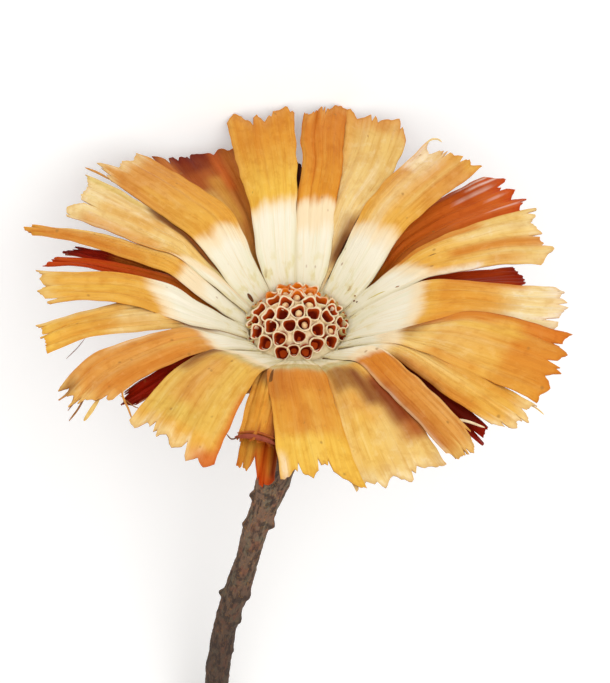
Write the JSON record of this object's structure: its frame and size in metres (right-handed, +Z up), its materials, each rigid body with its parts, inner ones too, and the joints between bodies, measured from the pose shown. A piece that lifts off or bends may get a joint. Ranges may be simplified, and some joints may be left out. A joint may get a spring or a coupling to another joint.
{
  "type": "protea flower",
  "caption": "Dried protea rosette lying on a surface: toothed cream and orange bracts in layers over dark red ones, a honeycomb floret disc and a woody cut stem.",
  "frame": {"origin": "centre of the lying flower's bounding box, on the surface it rests on", "axes": "+Z up; the flower is longest along Y, the cut end of the stem at -Y and the face of the head towards +Y"},
  "size_m": [0.0972, 0.1578, 0.0952],
  "materials": {
    "front_bracts": "dry, papery, cream at the base and golden orange above",
    "outer_bracts": "dry, slightly glossy, dark red to red-orange",
    "floret_disc": "matt cream walls round red-brown hollows",
    "stem": "rough grey-brown bark"
  },
  "bodies": {
    "root": {"front_bracts": "front_bracts", "outer_bracts": "outer_bracts", "floret_disc": "floret_disc", "stem": "stem"}
  },
  "joints": []
}
